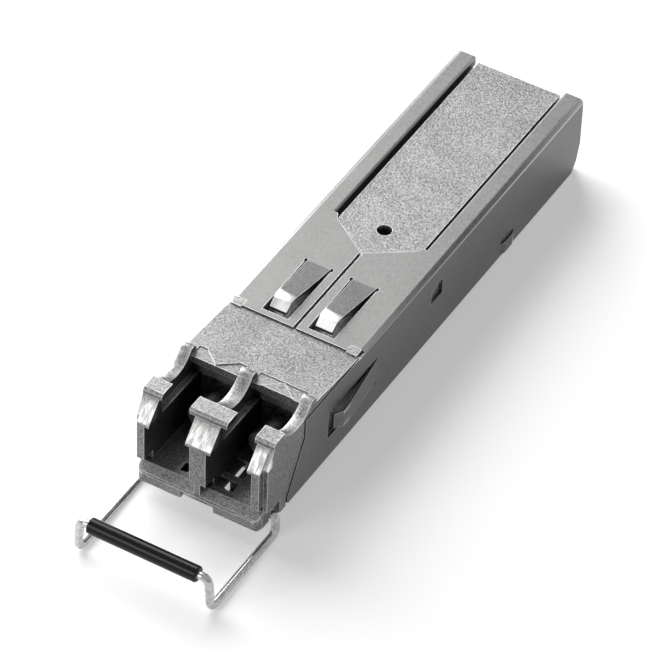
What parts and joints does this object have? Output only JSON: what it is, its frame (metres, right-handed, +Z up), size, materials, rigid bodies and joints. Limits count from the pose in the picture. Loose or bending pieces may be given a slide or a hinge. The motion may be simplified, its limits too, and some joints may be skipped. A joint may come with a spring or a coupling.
{
  "type": "pluggable optical transceiver",
  "caption": "Small pluggable optical transceiver with a duplex fibre port, spring-fingered sheet shell and a wire bail.",
  "frame": {"origin": "on the flat bottom face, at mid-width, 28 mm in front of the shell's rear end", "axes": "+Y from the nose to the connector end, +X to the right seen from the nose, +Z up from the bottom face"},
  "size_m": [0.0148, 0.0662, 0.0115],
  "materials": {
    "cast_zinc": "fine grainy satin cast zinc",
    "shell_sheet": "smooth satin spring sheet",
    "bail_steel": "bright drawn wire",
    "black_tube": "smooth gloss",
    "lever_steel": "dull stamped",
    "pin_steel": "ground",
    "spring_steel": "satin",
    "board_laminate": "green solder mask",
    "contact_gold": "gold plating",
    "optic_steel": "turned",
    "can_metal": "plated",
    "flex_amber": "polyimide film",
    "ceramic": "polished ceramic",
    "gasket_rubber": "soft",
    "clamp_steel": "satin",
    "chip_black": "moulded",
    "pad_grey": "soft",
    "capacitor_tan": "ceramic block",
    "resistor_black": "film"
  },
  "bodies": {
    "module": {"housing": "cast_zinc", "shell": "shell_sheet", "lever_pin": "pin_steel", "latch_spring": "spring_steel", "circuit_board": "board_laminate", "top_contacts": "contact_gold", "bottom_contacts": "contact_gold", "transmitter_sleeve": "optic_steel", "receiver_sleeve": "optic_steel", "transmitter_can": "can_metal", "receiver_can": "can_metal", "transmitter_flex": "flex_amber", "receiver_flex": "flex_amber", "fibre_stubs": "ceramic", "sleeve_gaskets": "gasket_rubber", "optics_clamp": "clamp_steel", "driver_chip": "chip_black", "amplifier_chip": "chip_black", "controller_chip": "chip_black", "heat_pad": "pad_grey", "capacitors": "capacitor_tan", "resistors": "resistor_black"},
    "bail": {"bail_wire": "bail_steel", "bail_sleeve": "black_tube"},
    "lever": {"latch_lever": "lever_steel"}
  },
  "joints": [
    {"name": "bail_hinge", "type": "hinge", "parent": "module", "child": "bail", "pos_m": [0, -0.0267, 0.00045], "axis": [-1, 0, 0], "range_deg": [0, 90]},
    {"name": "lever_hinge", "type": "hinge", "parent": "module", "child": "lever", "pos_m": [0, -0.0282, 0.0005], "axis": [-1, 0, 0], "range_deg": [0, 2.4]}
  ],
  "couplings": [
    {"joint": "lever_hinge", "follows": "bail_hinge", "ratio": 0.0266}
  ]
}
